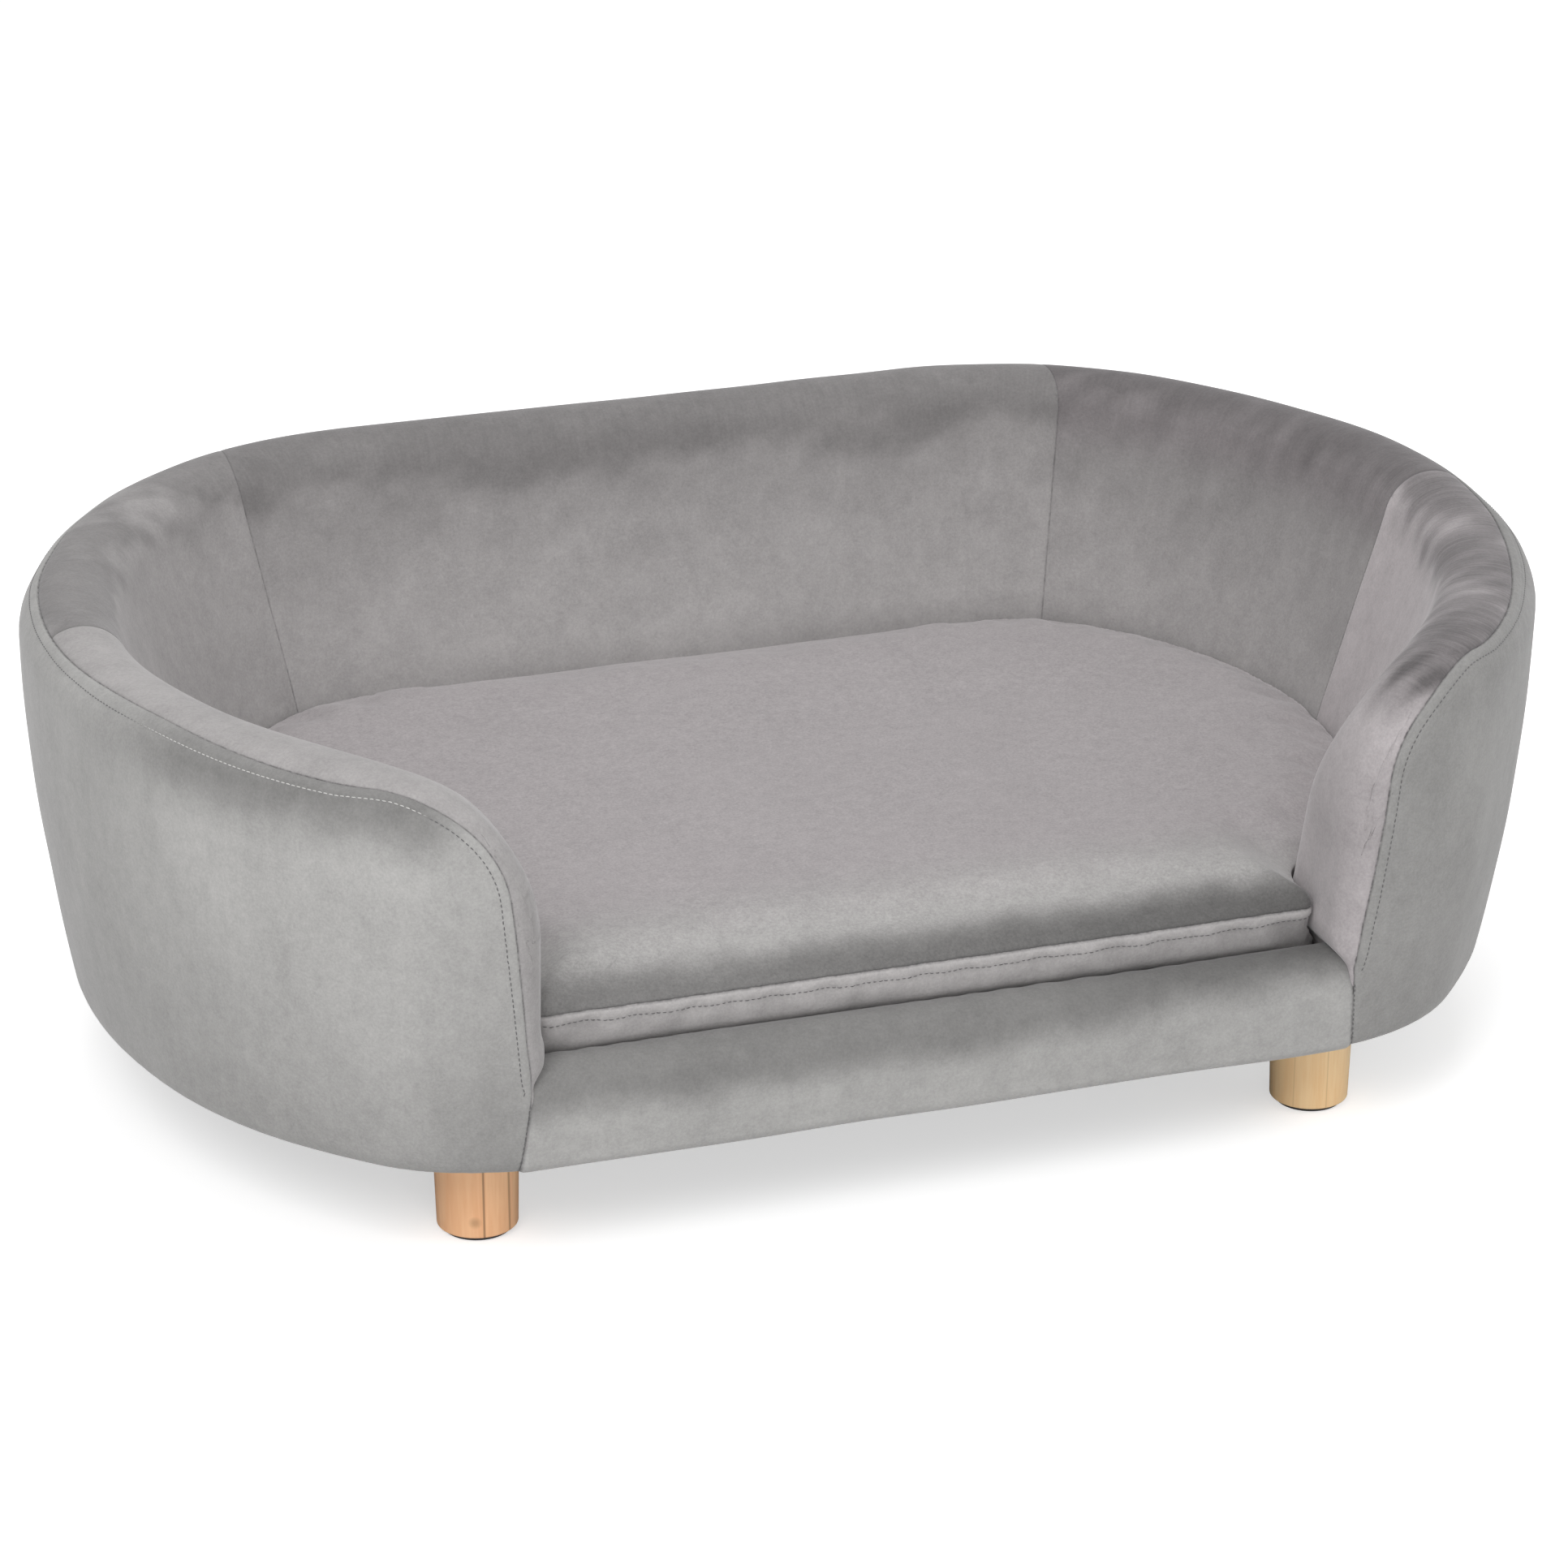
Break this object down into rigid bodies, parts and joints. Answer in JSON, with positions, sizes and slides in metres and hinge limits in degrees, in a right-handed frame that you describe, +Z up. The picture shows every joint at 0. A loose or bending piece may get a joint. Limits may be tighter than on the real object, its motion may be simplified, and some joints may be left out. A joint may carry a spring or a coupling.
{
  "type": "dog sofa bed",
  "caption": "Oval upholstered dog sofa bed: raised tub with rolled rim and a low front, wooden legs, and a loose lift-out cushion with a zipped cover.",
  "frame": {"origin": "on the floor, under the middle of the bed's length and depth", "axes": "+X to the right as one faces the way in, +Y towards the back, +Z up; the front with the low rail faces -Y"},
  "size_m": [0.98, 0.6816, 0.33],
  "materials": {
    "velvet": "short-pile warm grey velvet, brushed by hand",
    "lining": "black non-woven lining cloth",
    "foam": "soft polyurethane foam",
    "cushion_filling": "foam wrapped in white fibre wadding",
    "plywood": "bare plywood",
    "hardboard": "bare hardboard",
    "pine_frame": "sawn pine",
    "leg_wood": "turned pine, clear satin lacquer",
    "glide": "dark plastic glide",
    "steel": "zinc-plated steel",
    "zip_tape": "woven grey zip tape",
    "zip_plastic": "grey coil zip",
    "zip_metal": "grey painted slider"
  },
  "bodies": {
    "tub": {"base_board": "plywood", "outer_board": "plywood", "inner_board": "hardboard", "top_rib": "plywood", "wall_studs": "pine_frame", "arm_post_left": "pine_frame", "arm_post_right": "pine_frame", "rail_board": "pine_frame", "rail_padding": "foam", "outer_cover": "velvet", "rail_cover": "velvet", "deck_cloth": "lining", "dust_cover": "lining", "hem_staples": "steel", "hanger_bolts": "steel", "tee_nuts": "steel", "inner_cover_left_arm": "velvet", "inner_cover_left_corner": "velvet", "inner_cover_back": "velvet", "inner_cover_right_corner": "velvet", "inner_cover_right_arm": "velvet", "inner_padding_left_arm": "foam", "inner_padding_left_corner": "foam", "inner_padding_back": "foam", "inner_padding_right_corner": "foam", "inner_padding_right_arm": "foam", "outer_padding_left_arm": "foam", "outer_padding_left_corner": "foam", "outer_padding_back": "foam", "outer_padding_right_corner": "foam", "outer_padding_right_arm": "foam", "leg_front_left": "leg_wood", "leg_front_right": "leg_wood", "leg_back_left": "leg_wood", "leg_back_right": "leg_wood", "glide_front_left": "glide", "glide_front_right": "glide", "glide_back_left": "glide", "glide_back_right": "glide"},
    "cushion": {"cushion_core": "cushion_filling", "cushion_top_panel": "velvet", "cushion_boxing": "velvet", "cushion_base_panel": "lining", "zip_tape": "zip_tape", "zip_chain": "zip_plastic"},
    "slider": {"zip_slider": "zip_metal"}
  },
  "joints": [
    {"name": "cushion_lift", "type": "slide", "parent": "tub", "child": "cushion", "axis": [0, 0, 1], "range_m": [0, 0.25]},
    {"name": "zip_slide", "type": "slide", "parent": "cushion", "child": "slider", "axis": [1, 0, 0], "range_m": [-0.342, 0]}
  ]
}
